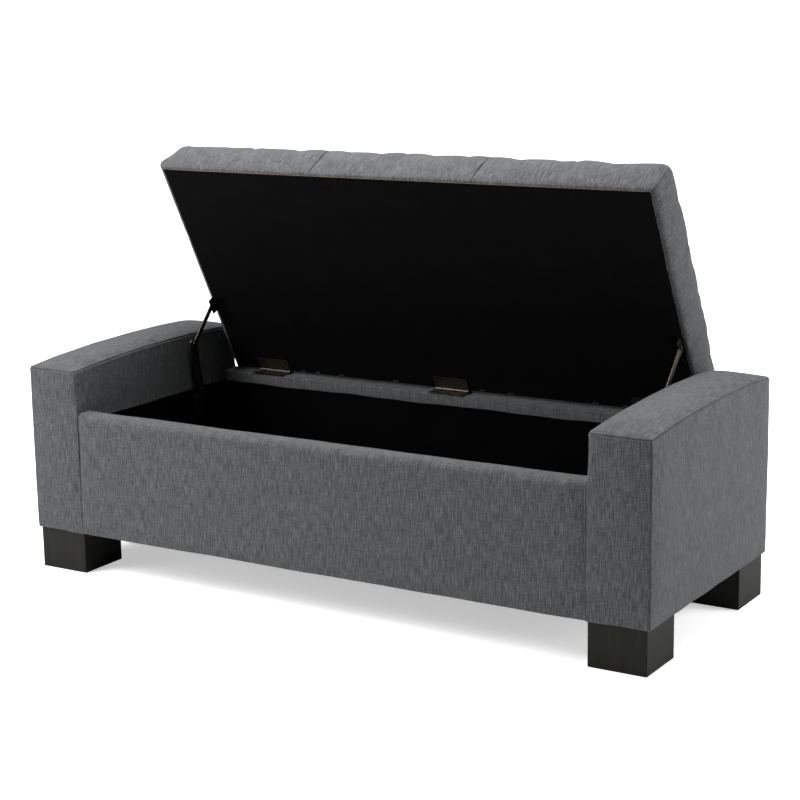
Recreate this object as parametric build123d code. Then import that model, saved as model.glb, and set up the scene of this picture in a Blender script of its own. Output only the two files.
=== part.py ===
from build123d import *
import math
import os

# Upholstered storage bench with raised, gently arched arms and a hinged, tufted lid.
# Millimetres. +X runs along the length, -Y is the front, +Z is up. The origin is on the
# floor, at the centre of the rectangle that the four legs stand on. The lid is modelled
# propped open on its stays, which is its rest position.

# Overall size
LENGTH = 1295.0
DEPTH = 508.0
HALF_X = LENGTH / 2
HALF_Y = DEPTH / 2

# Heights
LEG_TOP = 80.0
FRAME_BASE = 84.0
RAIL_TOP = 318.0
FLOOR_TOP = 96.0

# Skins and clearances
FABRIC = 2.0
CLOTH = 1.0
GAP = 0.3
THIN_FOAM = 5.0
SEAT_PLY = 15.0
SIDE_PLY = 12.0

# Arms: the top is part of a large circle, highest behind the middle
ARM_WIDTH = 113.0
ARM_INNER = HALF_X - ARM_WIDTH
ARM_CREST_Y = 70.0
ARM_CREST_Z = 414.5
ARM_RADIUS = 3386.0
ARM_TOP_FOAM = 10.0
ARM_TOP_PLY = 6.0
ARM_ROUND = 10.0

# Rails: front and back walls of the box
RAIL_DEPTH = 42.0
RAIL_TURN_DOWN = 28.0
BATTEN_HEIGHT = 40.0
LINER_TOP = 298.0

# Legs
LEG_SIDE = 107.0
LEG_INSET = 5.0
LEG_CHAMFER = 0.8
GLIDE_HEIGHT = 0.6
GLIDE_RADIUS = 12.0
BOLT_RADIUS = 4.0
BOLT_BOTTOM = 36.0
BOLT_TOP = 110.0
PLATE_SIDE = 60.0
PLATE_BASE = 81.2
BOSS_RADIUS = 7.0
BOSS_TOP = 96.0

# Lid: heights are measured from the hinge line, away from the box
HINGE_Y = 240.0
HINGE_Z = 321.5
OPEN_ANGLE = 62.3
LID_HALF_X = 521.0
LID_FRONT = 489.0
LID_BACK = -1.0
LID_UNDERSIDE = 3.0
LID_TOP = 98.0
LID_CORNER = 16.0
LID_ROUND = 14.0

# Tufting
TUFT_COLUMNS = 5
TUFT_ROWS = 2
TUFT_PITCH_X = 173.7
TUFT_SEAT = 63.0
TUFT_MOUTH_RADIUS = 30.0
TUFT_SEAT_RADIUS = 13.0
BUTTON_RADIUS = 11.0
BUTTON_HEIGHT = 5.0
TWINE_RADIUS = 1.0
WASHER_RADIUS = 9.0
WASHER_HEIGHT = 1.6

# Butt hinges
HINGE_CENTRES = (-423.0, 0.0, 423.0)
LEAF_LENGTH = 75.0
LEAF_WIDTH = 28.0
LEAF_THICK = 1.5
KNUCKLES = 5
KNUCKLE_RADIUS = 2.9
KNUCKLE_GAP = 0.25
PIN_RADIUS = 1.5
PIN_CLEARANCE = 0.05
SCREW_RADIUS = 1.9
SCREW_HEAD_RADIUS = 3.4
SCREW_HEAD_HEIGHT = 0.9
SCREW_LENGTH = 14.0
LEAF_SCREW_PITCH = 26.0
LEAF_SCREW_REACH = 17.5

# Folding stays, given as (Y, Z) points; the lid pivot is (along the lid, below the hinge line)
STAY_BASE = (114.0, 278.0)
STAY_ELBOW = (93.5, 394.0)
STAY_LID_REACH = 165.0
STAY_LID_DROP = 8.5
STAY_THICK = 2.0
BRACKET_THICK = 11.5
LOWER_LINK_WIDTH = 22.0
UPPER_LINK_WIDTH = 10.0
RIVET_RADIUS = 2.5
RIVET_HEAD_RADIUS = 4.6
RIVET_HEAD = 1.2
RIVET_CLEARANCE = 0.05
PLAY = 0.1
STAY_SCREW_TIP = 546.0
STAY_SCREW_X = 506.0
STAY_SCREW_SHIFT = 8.0
BRACKET_SCREW_DROPS = (18.0, 31.0)
BRACKET_TAIL = 34.0
BRACKET_WIDTH = 18.0
LID_BRACKET_HALF = 16.0
LID_BRACKET_FOOT_X = 496.0
LID_EAR_DROP = 15.5
# Distance of each layer's outer face from the bench's middle plane
BRACKET_X = 533.0
LOWER_X = 521.0
UPPER_X = 518.5
EAR_X = 516.0

# Staples along the lid's back edge
STAPLE_PLACES = (-490.0, -354.0, -318.0, -260.0, -130.0, 66.0, 130.0, 310.0, 371.0, 485.0)
STAPLE_LENGTH = 11.0
STAPLE_WIRE = 0.6
STAPLE_SET_IN = 4.0

SIDES = {"left": -1, "right": 1}


def block(x, y, z):
    """A box from three (low, high) pairs."""
    spans = [sorted(pair) for pair in (x, y, z)]
    centre = [(low + high) / 2 for low, high in spans]
    size = [high - low for low, high in spans]
    return Pos(*centre) * Box(*size)


def upright(x, y, radius, z):
    """A cylinder along Z between two heights."""
    return Pos(x, y, (z[0] + z[1]) / 2) * Cylinder(radius, abs(z[1] - z[0]))


def crossbar(y, z, radius, x):
    """A cylinder along X between two places."""
    middle = (x[0] + x[1]) / 2
    return Pos(middle, y, z) * Rot(0, 90, 0) * Cylinder(radius, abs(x[1] - x[0]))


def save(name, *solids):
    """Write one named piece, or a group of identical pieces."""
    shape = solids[0] if len(solids) == 1 else Compound(children=list(solids))
    shape.label = name
    export_step(shape, f"parts/{name}.step")


# ---------------------------------------------------------------- arms

def arm_top_z(y, drop=0.0):
    """Height of the arched arm top, lowered by drop."""
    offset = y - ARM_CREST_Y
    return ARM_CREST_Z - drop - (ARM_RADIUS - math.sqrt(ARM_RADIUS**2 - offset**2))


def arm_prism(x, inset=0.0, drop=0.0, base=LEG_TOP):
    """A block with the arm's side outline, pulled in by inset and lowered by drop."""
    front = -HALF_Y + inset
    back = HALF_Y - inset
    low, high = sorted(x)
    corner_front = (low, front, arm_top_z(front, drop))
    corner_back = (low, back, arm_top_z(back, drop))
    arch = ThreePointArc(corner_front, (low, 0, arm_top_z(0, drop)), corner_back)
    rest = Polyline([corner_back, (low, back, base), (low, front, base), corner_front])
    return extrude(make_face([arch, rest]), amount=high - low, dir=(1, 0, 0))


def soft_arm(side, inset, inner, base):
    """The arm's block with soft edges round its top and down its outer corners."""
    outside = side * (HALF_X - inset)
    body = arm_prism((side * inner, outside), inset, inset, base)
    soft = []
    for edge in body.edges():
        size = edge.bounding_box().size
        tall = size.Z > RAIL_TOP / 2
        if edge.center().Z > RAIL_TOP and not tall:
            soft.append(edge)
        if tall and abs(edge.center().X - outside) < 1:
            soft.append(edge)
    return fillet(soft, ARM_ROUND - inset)


def arm_cover(side):
    """Sewn fabric sleeve of one arm, open underneath and below the liner's edge."""
    outer = soft_arm(side, 0, ARM_INNER, LEG_TOP)
    cavity = soft_arm(side, FABRIC, ARM_INNER + FABRIC, LEG_TOP - 1)
    window = block(
        (side * (ARM_INNER - 1), side * (ARM_INNER + FABRIC + 1)),
        (-HALF_Y + FABRIC, HALF_Y - FABRIC),
        (LEG_TOP - 1, RAIL_TOP - RAIL_TURN_DOWN),
    )
    return outer - cavity - window


def make_arm(name, side):
    save(f"arm_cover_{name}", arm_cover(side))
    skin = FABRIC + GAP
    pad = skin + THIN_FOAM
    inner = ARM_INNER + skin
    outer = HALF_X - skin
    # The foam wraps the outer side, both ends and the top
    foam = soft_arm(side, skin, inner, FRAME_BASE)
    hollow_x = (side * (inner - 1), side * (outer - THIN_FOAM))
    hollow = arm_prism(hollow_x, pad, skin + ARM_TOP_FOAM, FRAME_BASE - 1)
    save(f"arm_foam_{name}", foam - hollow)
    board_inset = pad + GAP
    board_drop = skin + ARM_TOP_FOAM + GAP
    under_drop = board_drop + ARM_TOP_PLY
    board_outer = outer - THIN_FOAM - GAP
    top = arm_prism((side * inner, side * board_outer), board_inset, board_drop, FRAME_BASE)
    under_x = (side * (inner - 1), side * (board_outer + 1))
    top -= arm_prism(under_x, board_inset - 1, under_drop, FRAME_BASE - 1)
    save(f"arm_top_board_{name}", top)
    drop = under_drop + GAP
    panel_x = (side * (board_outer - SIDE_PLY), side * board_outer)
    save(f"arm_outer_panel_{name}", arm_prism(panel_x, board_inset, drop, FRAME_BASE))
    end_x = (side * inner, side * (inner + SEAT_PLY))
    end_panel = stay_screw_hole(arm_prism(end_x, board_inset, drop, FRAME_BASE), side)
    save(f"storage_end_panel_{name}", end_panel)
    between = (end_x[1], panel_x[0])
    core = arm_prism(between, board_inset, drop, FRAME_BASE)
    reach = HALF_Y - board_inset
    ends = []
    for end in (-1, 1):
        keep = block(between, (end * (reach - SIDE_PLY), end * reach), (0, ARM_CREST_Z))
        ends.append(core & keep)
    save(f"arm_end_boards_{name}", *ends)
    bottom = block(between, (-reach + SIDE_PLY, reach - SIDE_PLY), (FRAME_BASE, FRAME_BASE + 18))
    for leg_side, end in leg_places():
        if leg_side == side:
            x, y = leg_centre(leg_side, end)
            bottom -= upright(x, y, BOSS_RADIUS + GAP, (FRAME_BASE - 1, FRAME_BASE + 19))
    save(f"arm_bottom_board_{name}", bottom)


# ---------------------------------------------------------------- box

def rail_hook(end, outer, thick, drop, tail, base):
    """A hook section over a rail: down the outside, over the top, and down the inside by tail."""
    out = HALF_Y - outer
    inn = HALF_Y - RAIL_DEPTH + outer
    top = RAIL_TOP - drop
    face = block((-ARM_INNER, ARM_INNER), (end * (out - thick), end * out), (base, top))
    lid = block((-ARM_INNER, ARM_INNER), (end * inn, end * out), (top - thick, top))
    if tail:
        lid += block((-ARM_INNER, ARM_INNER), (end * inn, end * (inn + thick)), (top - tail, top))
    return face + lid


def screw_clearance(shape, points, z):
    for x, y in points:
        shape -= upright(x, y, SCREW_RADIUS + GAP / 2, z)
    return shape


def hinge_screw_places():
    """X and Y of each screw in the rail's top."""
    y = HINGE_Y - LEAF_SCREW_REACH
    return [(c + k * LEAF_SCREW_PITCH, y) for c in HINGE_CENTRES for k in (-1, 0, 1)]


def make_rails():
    holes = hinge_screw_places()
    drill = (RAIL_TOP - SCREW_LENGTH - 2, RAIL_TOP + 1)
    covers = {}
    for name, end in (("front", -1), ("back", 1)):
        cover = rail_hook(end, 0, FABRIC, 0, RAIL_TURN_DOWN, LEG_TOP)
        rounded = [e for e in cover.edges() if e.center().Z > RAIL_TOP - 0.01
                   and e.bounding_box().size.X > ARM_INNER and abs(e.center().Y) > HALF_Y - RAIL_DEPTH - 0.01]
        cover = fillet(rounded, FABRIC * 0.9)
        foam = rail_hook(end, FABRIC + GAP, THIN_FOAM, FABRIC + GAP, 0, FRAME_BASE)
        covers[name] = (cover, foam)
    back_cover, back_foam = covers["back"]
    covers["back"] = (screw_clearance(back_cover, holes, drill), screw_clearance(back_foam, holes, drill))
    for name, (cover, foam) in covers.items():
        save(f"{name}_cover", cover)
        save(f"{name}_rail_foam", foam)
    board_out = HALF_Y - FABRIC - GAP - THIN_FOAM - GAP
    board_top = RAIL_TOP - FABRIC - 2 * GAP - THIN_FOAM
    x = (-ARM_INNER + GAP, ARM_INNER - GAP)
    battens = []
    for name, end in (("front", -1), ("back", 1)):
        y = (end * (board_out - SEAT_PLY), end * board_out)
        save(f"frame_{name}_panel", block(x, y, (FRAME_BASE, board_top)))
        inn = HALF_Y - RAIL_DEPTH + FABRIC + GAP
        batten = block(x, (end * inn, end * (board_out - SEAT_PLY)), (board_top - BATTEN_HEIGHT, board_top))
        battens.append(screw_clearance(batten, holes, drill) if end > 0 else batten)
    save("rail_battens", *battens)


def make_box():
    wall_y = HALF_Y - FABRIC - 2 * GAP - THIN_FOAM - SEAT_PLY
    wall_x = ARM_INNER + FABRIC + GAP
    floor_x = (-wall_x, wall_x)
    save("storage_floor_panel", block(floor_x, (-wall_y, wall_y), (FRAME_BASE, FLOOR_TOP)))
    inn = HALF_Y - RAIL_DEPTH + FABRIC + GAP
    low = []
    posts = []
    for end in (-1, 1):
        low.append(block((-wall_x, wall_x), (end * inn, end * wall_y), (FLOOR_TOP, FLOOR_TOP + 18)))
        for side in (-1, 1):
            post_x = (side * (wall_x - 22), side * wall_x)
            post_top = RAIL_TOP - FABRIC - 2 * GAP - THIN_FOAM - BATTEN_HEIGHT
            posts.append(block(post_x, (end * inn, end * wall_y), (FLOOR_TOP + 18, post_top)))
    save("floor_battens", *low)
    save("corner_posts", *posts)
    # Cloth liner: four walls and a floor
    out_x = ARM_INNER - GAP
    out_y = HALF_Y - RAIL_DEPTH - GAP
    base = FLOOR_TOP + GAP
    in_x = out_x - CLOTH
    in_y = out_y - CLOTH
    liner = block((-out_x, out_x), (-out_y, out_y), (base, LINER_TOP))
    liner -= block((-in_x, in_x), (-in_y, in_y), (base + CLOTH, LINER_TOP + 1))
    for side in SIDES.values():
        liner = stay_screw_hole(liner, side)
    save("storage_liner", liner)
    skin = FABRIC + GAP
    dust = block((-HALF_X + skin, HALF_X - skin), (-HALF_Y + skin, HALF_Y - skin), (LEG_TOP, LEG_TOP + CLOTH))
    dust = fillet(dust.edges().filter_by(Axis.Z), ARM_ROUND)
    for side, end in leg_places():
        x, y = leg_centre(side, end)
        dust -= upright(x, y, BOLT_RADIUS + 2, (LEG_TOP - 1, LEG_TOP + CLOTH + 1))
    save("bottom_dust_cloth", dust)


# ---------------------------------------------------------------- legs

def leg_places():
    return [(side, end) for side in (-1, 1) for end in (-1, 1)]


def leg_centre(side, end):
    reach = LEG_INSET + LEG_SIDE / 2
    return side * (HALF_X - reach), end * (HALF_Y - reach)


def make_legs():
    bolts = []
    plates = []
    glides = []
    for side, end in leg_places():
        x, y = leg_centre(side, end)
        half = LEG_SIDE / 2
        leg = block((x - half, x + half), (y - half, y + half), (GLIDE_HEIGHT, LEG_TOP))
        leg = chamfer(leg.edges().filter_by(Axis.Z), LEG_CHAMFER)
        leg = chamfer(leg.edges().group_by(Axis.Z)[0], LEG_CHAMFER)
        leg -= upright(x, y, BOLT_RADIUS + RIVET_CLEARANCE, (BOLT_BOTTOM - 1, LEG_TOP + 1))
        name = f"leg_{'front' if end < 0 else 'back'}_{'left' if side < 0 else 'right'}"
        save(name, leg)
        bolts.append(upright(x, y, BOLT_RADIUS, (BOLT_BOTTOM, BOLT_TOP)))
        half = PLATE_SIDE / 2
        plate = block((x - half, x + half), (y - half, y + half), (PLATE_BASE, FRAME_BASE))
        plate += upright(x, y, BOSS_RADIUS, (FRAME_BASE, BOSS_TOP))
        plate -= upright(x, y, BOLT_RADIUS + RIVET_CLEARANCE, (PLATE_BASE - 1, BOSS_TOP + 1))
        plates.append(plate)
        glides.append(upright(x, y, GLIDE_RADIUS, (0, GLIDE_HEIGHT)))
    save("leg_bolts", *bolts)
    save("leg_plates", *plates)
    save("leg_glides", *glides)


# ---------------------------------------------------------------- lid

def lid_block(x, reach, height):
    """A box on the closed lid: reach runs forward from the hinge line, height away from the box."""
    y = [HINGE_Y - r for r in reach]
    z = [HINGE_Z + h for h in height]
    return block(x, y, z)


def lid_upright(x, reach, radius, height):
    return upright(x, HINGE_Y - reach, radius, [HINGE_Z + h for h in height])


def opened(shape):
    """Turn a piece of the closed lid to the lid's propped-open position."""
    return shape.rotate(Axis((0, HINGE_Y, HINGE_Z), (1, 0, 0)), -OPEN_ANGLE)


def tuft_places():
    rows = [LID_BACK + (LID_FRONT - LID_BACK) * (k + 1) / (TUFT_ROWS + 1) for k in range(TUFT_ROWS)]
    columns = [(k - (TUFT_COLUMNS - 1) / 2) * TUFT_PITCH_X for k in range(TUFT_COLUMNS)]
    return [(x, reach) for x in columns for reach in rows]


def cushion(inset, base, grow=0.0):
    """The padded lid's outline with a pit at each tuft."""
    half = LID_HALF_X - inset
    body = lid_block((-half, half), (LID_BACK + inset, LID_FRONT - inset), (base, LID_TOP - inset))
    body = fillet(body.edges().filter_by(Axis.Z), LID_CORNER - inset)
    body = fillet(body.edges().group_by(Axis.Z)[-1], LID_ROUND - inset)
    seat = TUFT_SEAT - grow
    mouth = LID_TOP + 1
    spread = (TUFT_MOUTH_RADIUS - TUFT_SEAT_RADIUS) / (LID_TOP - TUFT_SEAT)
    wide = TUFT_SEAT_RADIUS + grow + spread * (mouth - seat)
    for x, reach in tuft_places():
        cone = Cone(TUFT_SEAT_RADIUS + grow, wide, mouth - seat)
        body -= Pos(x, HINGE_Y - reach, HINGE_Z + (seat + mouth) / 2) * cone
    return body


def make_lid():
    board_base = LID_UNDERSIDE + CLOTH
    board_top = board_base + SEAT_PLY
    edge = FABRIC + GAP
    board = lid_block(
        (-LID_HALF_X + edge, LID_HALF_X - edge), (LID_BACK + edge, LID_FRONT - edge), (board_base, board_top)
    )
    board = fillet(board.edges().filter_by(Axis.Z), LID_CORNER - edge)
    cover = cushion(0, LID_UNDERSIDE + CLOTH) - cushion(FABRIC, LID_UNDERSIDE - 1, FABRIC)
    foam = cushion(edge, board_top, edge)
    cloth = lid_block((-LID_HALF_X, LID_HALF_X), (LID_BACK, LID_FRONT), (LID_UNDERSIDE, board_base))
    cloth = fillet(cloth.edges().filter_by(Axis.Z), LID_CORNER)
    buttons = []
    twines = []
    washers = []
    washer_top = board_base + WASHER_HEIGHT
    for x, reach in tuft_places():
        hole = lid_upright(x, reach, TWINE_RADIUS + GAP, (board_base - 1, LID_TOP))
        board -= hole
        board -= lid_upright(x, reach, WASHER_RADIUS + GAP, (board_base - 1, washer_top))
        foam -= hole
        cover -= lid_upright(x, reach, TWINE_RADIUS + GAP, (TUFT_SEAT - 2 * FABRIC, TUFT_SEAT + 1))
        button = lid_upright(x, reach, BUTTON_RADIUS, (TUFT_SEAT, TUFT_SEAT + BUTTON_HEIGHT))
        button = fillet(button.edges().group_by(Axis.Z)[-1], BUTTON_HEIGHT * 0.7)
        buttons.append(opened(button))
        twines.append(opened(lid_upright(x, reach, TWINE_RADIUS, (washer_top, TUFT_SEAT))))
        washers.append(opened(lid_upright(x, reach, WASHER_RADIUS, (board_base, washer_top))))
    screws = lid_screw_places()
    for x, reach, length in screws:
        shank = lid_upright(x, reach, SCREW_RADIUS + GAP / 2, (LID_UNDERSIDE - 1, length + 1))
        board -= shank
        cloth -= shank
    for name, shape in (("board", board), ("cover", cover), ("foam", foam), ("underside_cloth", cloth)):
        save(f"lid_{name}", opened(shape))
    save("tuft_buttons", *buttons)
    save("tuft_twine", *twines)
    save("tuft_washers", *washers)
    half = STAPLE_LENGTH / 2
    crown = (LID_UNDERSIDE - STAPLE_WIRE, LID_UNDERSIDE)
    row = (STAPLE_SET_IN, STAPLE_SET_IN + 2 * STAPLE_WIRE)
    save("lid_cloth_staples", *[opened(lid_block((x - half, x + half), row, crown)) for x in STAPLE_PLACES])


def lid_screw_places():
    """X, reach and tip height of each screw in the lid's underside."""
    tip = LID_UNDERSIDE + SCREW_LENGTH - 2
    places = [(c + k * LEAF_SCREW_PITCH, LEAF_SCREW_REACH, tip) for c in HINGE_CENTRES for k in (-1, 0, 1)]
    for side in SIDES.values():
        for shift in (-STAY_SCREW_SHIFT, STAY_SCREW_SHIFT):
            places.append((side * STAY_SCREW_X, STAY_LID_REACH + shift, tip))
    return places


# ---------------------------------------------------------------- hinges

def knuckle_spans(centre, lid_side):
    """X spans of the barrel knuckles that belong to one leaf."""
    step = LEAF_LENGTH / KNUCKLES
    start = centre - LEAF_LENGTH / 2
    spans = []
    for k in range(KNUCKLES):
        if (k % 2 == 1) == lid_side:
            spans.append((start + k * step + KNUCKLE_GAP, start + (k + 1) * step - KNUCKLE_GAP))
    return spans


def leaf(centre, lid_side):
    """One hinge leaf with its knuckles, drawn with the lid closed."""
    half = LEAF_LENGTH / 2
    level = LID_UNDERSIDE - LEAF_THICK if lid_side else RAIL_TOP - HINGE_Z
    plate = lid_block((centre - half, centre + half), (0, LEAF_WIDTH), (level, level + LEAF_THICK))
    for span in knuckle_spans(centre, not lid_side):
        room = (span[0] - 2 * KNUCKLE_GAP, span[1] + 2 * KNUCKLE_GAP)
        plate -= lid_block(room, (-1, KNUCKLE_RADIUS + 0.6), (level - 1, level + LEAF_THICK + 1))
    for span in knuckle_spans(centre, lid_side):
        plate += crossbar(HINGE_Y, HINGE_Z, KNUCKLE_RADIUS, span)
    plate -= crossbar(HINGE_Y, HINGE_Z, PIN_RADIUS + PIN_CLEARANCE, (centre - half - 1, centre + half + 1))
    through = (level - 1, level + LEAF_THICK + 1)
    for k in (-1, 0, 1):
        x = centre + k * LEAF_SCREW_PITCH
        plate -= lid_upright(x, LEAF_SCREW_REACH, SCREW_RADIUS + GAP / 2, through)
    return plate


def make_hinges():
    save("hinge_base_leaves", *[leaf(c, False) for c in HINGE_CENTRES])
    save("hinge_lid_leaves", *[opened(leaf(c, True)) for c in HINGE_CENTRES])
    half = LEAF_LENGTH / 2
    save("hinge_pins", *[crossbar(HINGE_Y, HINGE_Z, PIN_RADIUS, (c - half, c + half)) for c in HINGE_CENTRES])
    seat = RAIL_TOP + LEAF_THICK
    base = []
    for x, y in hinge_screw_places():
        screw = upright(x, y, SCREW_RADIUS, (seat - SCREW_LENGTH, seat))
        base.append(screw + upright(x, y, SCREW_HEAD_RADIUS, (seat, seat + SCREW_HEAD_HEIGHT)))
    save("hinge_base_screws", *base)
    hinge_screws = []
    stay_screws = []
    for x, reach, tip in lid_screw_places():
        face = LID_UNDERSIDE - LEAF_THICK
        screw = lid_upright(x, reach, SCREW_RADIUS, (face, tip))
        screw += lid_upright(x, reach, SCREW_HEAD_RADIUS, (face - SCREW_HEAD_HEIGHT, face))
        (hinge_screws if reach < LEAF_WIDTH else stay_screws).append(opened(screw))
    save("hinge_lid_screws", *hinge_screws)
    save("stay_lid_screws", *stay_screws)


# ---------------------------------------------------------------- stays

def slab(start, end, width, x):
    """A flat bar with round ends between two (Y, Z) points."""
    run = (end[0] - start[0], end[1] - start[1])
    tilt = math.degrees(math.atan2(run[1], run[0]))
    middle = (sum(x) / 2, (start[0] + end[0]) / 2, (start[1] + end[1]) / 2)
    bar = Pos(*middle) * Rot(tilt, 0, 0) * Box(abs(x[1] - x[0]), math.hypot(*run), width)
    return bar + crossbar(*start, width / 2, x) + crossbar(*end, width / 2, x)


def lid_pivot():
    """(Y, Z) of the stay's pivot on the open lid."""
    turn = math.radians(OPEN_ANGLE)
    along = (-math.cos(turn), math.sin(turn))
    away = (math.sin(turn), math.cos(turn))
    y = HINGE_Y + STAY_LID_REACH * along[0] - STAY_LID_DROP * away[0]
    z = HINGE_Z + STAY_LID_REACH * along[1] - STAY_LID_DROP * away[1]
    return y, z


def layer(side, outer, thick):
    """X span of a layer that starts at outer and is thick towards the middle."""
    return (side * outer, side * (outer - thick))


def stay_screw_places():
    """(Y, Z) of the two screws under each stay's base pivot."""
    return [(STAY_BASE[0], STAY_BASE[1] - drop) for drop in BRACKET_SCREW_DROPS]


def stay_screw_hole(shape, side):
    for spot in stay_screw_places():
        shape -= crossbar(*spot, SCREW_RADIUS + GAP / 2, (side * UPPER_X, side * (STAY_SCREW_TIP + 1)))
    return shape


def make_stays():
    wall_brackets = []
    wall_screws = []
    base_rivets = []
    lid_brackets = []
    lid_rivets = []
    pivot = lid_pivot()
    for name, side in SIDES.items():
        bracket_x = layer(side, BRACKET_X, BRACKET_THICK)
        lower_x = layer(side, LOWER_X, STAY_THICK)
        upper_x = layer(side, UPPER_X, STAY_THICK)
        ear_x = layer(side, EAR_X, STAY_THICK)
        drill = (side * (EAR_X - 2 * STAY_THICK), side * BRACKET_X)
        hole = RIVET_RADIUS + RIVET_CLEARANCE
        low = (STAY_BASE[0], STAY_BASE[1] - BRACKET_TAIL)
        bracket = slab(low, STAY_BASE, BRACKET_WIDTH, bracket_x) - crossbar(*STAY_BASE, hole, drill)
        wall_brackets.append(stay_screw_hole(bracket, side))
        face = BRACKET_X - BRACKET_THICK
        for spot in stay_screw_places():
            head = crossbar(*spot, SCREW_HEAD_RADIUS, layer(side, face, SCREW_HEAD_HEIGHT))
            wall_screws.append(head + crossbar(*spot, SCREW_RADIUS, (side * LOWER_X, side * STAY_SCREW_TIP)))
        inner_face = LOWER_X - STAY_THICK
        head_face = inner_face - PLAY
        rivet = crossbar(*STAY_BASE, RIVET_RADIUS, (side * BRACKET_X, side * (head_face - RIVET_HEAD)))
        rivet += crossbar(*STAY_BASE, RIVET_HEAD_RADIUS, layer(side, head_face, RIVET_HEAD))
        base_rivets.append(rivet)
        # Lower link and its elbow rivet, which stops short of the upper link
        lower = slab(STAY_BASE, STAY_ELBOW, LOWER_LINK_WIDTH, lower_x)
        for spot in (STAY_BASE, STAY_ELBOW):
            lower -= crossbar(*spot, hole, drill)
        save(f"stay_lower_link_{name}", lower)
        head_top = LOWER_X + PLAY + RIVET_HEAD
        elbow = crossbar(*STAY_ELBOW, RIVET_RADIUS, (side * head_top, side * (inner_face - PLAY)))
        elbow += crossbar(*STAY_ELBOW, RIVET_HEAD_RADIUS, layer(side, head_top, RIVET_HEAD))
        save(f"stay_elbow_rivet_{name}", elbow)
        # Upper link with its own pressed stud at the elbow
        upper = slab(STAY_ELBOW, pivot, UPPER_LINK_WIDTH, upper_x)
        upper -= crossbar(*pivot, hole, drill)
        stud_face = UPPER_X - STAY_THICK
        upper += crossbar(*STAY_ELBOW, RIVET_HEAD_RADIUS, layer(side, stud_face + PLAY, RIVET_HEAD + PLAY))
        save(f"stay_upper_link_{name}", upper)
        # Angle bracket under the lid, drawn closed
        span = (STAY_LID_REACH - LID_BRACKET_HALF, STAY_LID_REACH + LID_BRACKET_HALF)
        level = LID_UNDERSIDE - LEAF_THICK
        ear = lid_block(ear_x, span, (-LID_EAR_DROP, LID_UNDERSIDE))
        ear += lid_block((side * EAR_X, side * LID_BRACKET_FOOT_X), span, (level, LID_UNDERSIDE))
        ear -= crossbar(HINGE_Y - STAY_LID_REACH, HINGE_Z - STAY_LID_DROP, hole, drill)
        for x, reach, tip in lid_screw_places():
            if reach > LEAF_WIDTH and x * side > 0:
                ear -= lid_upright(x, reach, SCREW_RADIUS + GAP / 2, (level - 1, LID_UNDERSIDE + 1))
        lid_brackets.append(opened(ear))
        head_top = UPPER_X + PLAY + RIVET_HEAD
        pin = crossbar(*pivot, RIVET_RADIUS, (side * head_top, side * (EAR_X - STAY_THICK - RIVET_HEAD)))
        pin += crossbar(*pivot, RIVET_HEAD_RADIUS, layer(side, head_top, RIVET_HEAD))
        lid_rivets.append(pin)
    save("stay_wall_brackets", *wall_brackets)
    save("stay_wall_screws", *wall_screws)
    save("stay_base_rivets", *base_rivets)
    save("stay_lid_brackets", *lid_brackets)
    save("stay_lid_rivets", *lid_rivets)


os.makedirs("parts", exist_ok=True)
for side_name, side_sign in SIDES.items():
    make_arm(side_name, side_sign)
make_rails()
make_box()
make_legs()
make_lid()
make_hinges()
make_stays()
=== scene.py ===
import math

import bpy
import numpy as np
from mathutils import Matrix, Vector


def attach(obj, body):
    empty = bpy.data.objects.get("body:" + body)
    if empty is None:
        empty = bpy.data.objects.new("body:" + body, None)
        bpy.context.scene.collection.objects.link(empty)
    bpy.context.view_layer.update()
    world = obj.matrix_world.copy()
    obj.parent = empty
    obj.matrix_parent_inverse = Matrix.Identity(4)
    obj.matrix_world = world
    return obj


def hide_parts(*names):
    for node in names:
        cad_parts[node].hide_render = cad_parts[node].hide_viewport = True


# Storage bench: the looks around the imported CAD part. Shapes are worked out in
# millimetres and become metres when a mesh is made.

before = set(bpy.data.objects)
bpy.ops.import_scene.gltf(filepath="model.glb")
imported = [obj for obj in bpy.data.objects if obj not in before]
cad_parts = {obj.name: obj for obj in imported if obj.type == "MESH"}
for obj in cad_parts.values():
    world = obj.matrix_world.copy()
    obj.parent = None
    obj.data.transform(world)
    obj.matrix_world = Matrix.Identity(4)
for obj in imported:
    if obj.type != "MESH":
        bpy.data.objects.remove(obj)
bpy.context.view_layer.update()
scene = bpy.context.scene

MM = 0.001

# Sizes shared with the CAD part, in millimetres
HALF_X = 647.5
HALF_Y = 254.0
ARM_INNER = 534.5
BODY_BASE = 80.0
RAIL_TOP = 318.0
RAIL_INNER = 212.0
ARM_TOP = 414.5
HINGE_Y = 240.0
HINGE_Z = 321.5
OPEN_ANGLE = 62.3
LID_HALF = 521.0
LID_REACH = 489.0
TUFT_PITCH = 173.7
LINER_TOP = 298.0

# Where a net is cut closer: distances beside a seam, and shares of a rounded rim
SEAM_OFFSETS = (0.0, 0.5, 1.0, 1.7, 2.6, 3.8)
RIM_FINE = (0.0, 0.07, 0.16, 0.28, 0.42, 0.58, 0.78, 1.0)
RIM_COARSE = (0.0, 0.3, 0.65, 1.0)
# The least gap between two close cuts, and from a close cut to an even one as a share of the step
LEAST_GAP = 0.3
LEAST_SHARE = 0.4

# Shares of a point's own value and of its neighbours' mean in one round of smoothing
OWN_SHARE = 0.4
NEIGHBOUR_SHARE = 0.6
RIPPLE_WAVES = 7
# A seam's lip, as distance and width, and the pitch and reach of its gathers
LIP_PLACE = 3.4
LIP_WIDTH = 2.2
GATHER_PITCH = 8.3
GATHER_REACH = 6.0


# ------------------------------------------------------------------ nets of points

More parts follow.
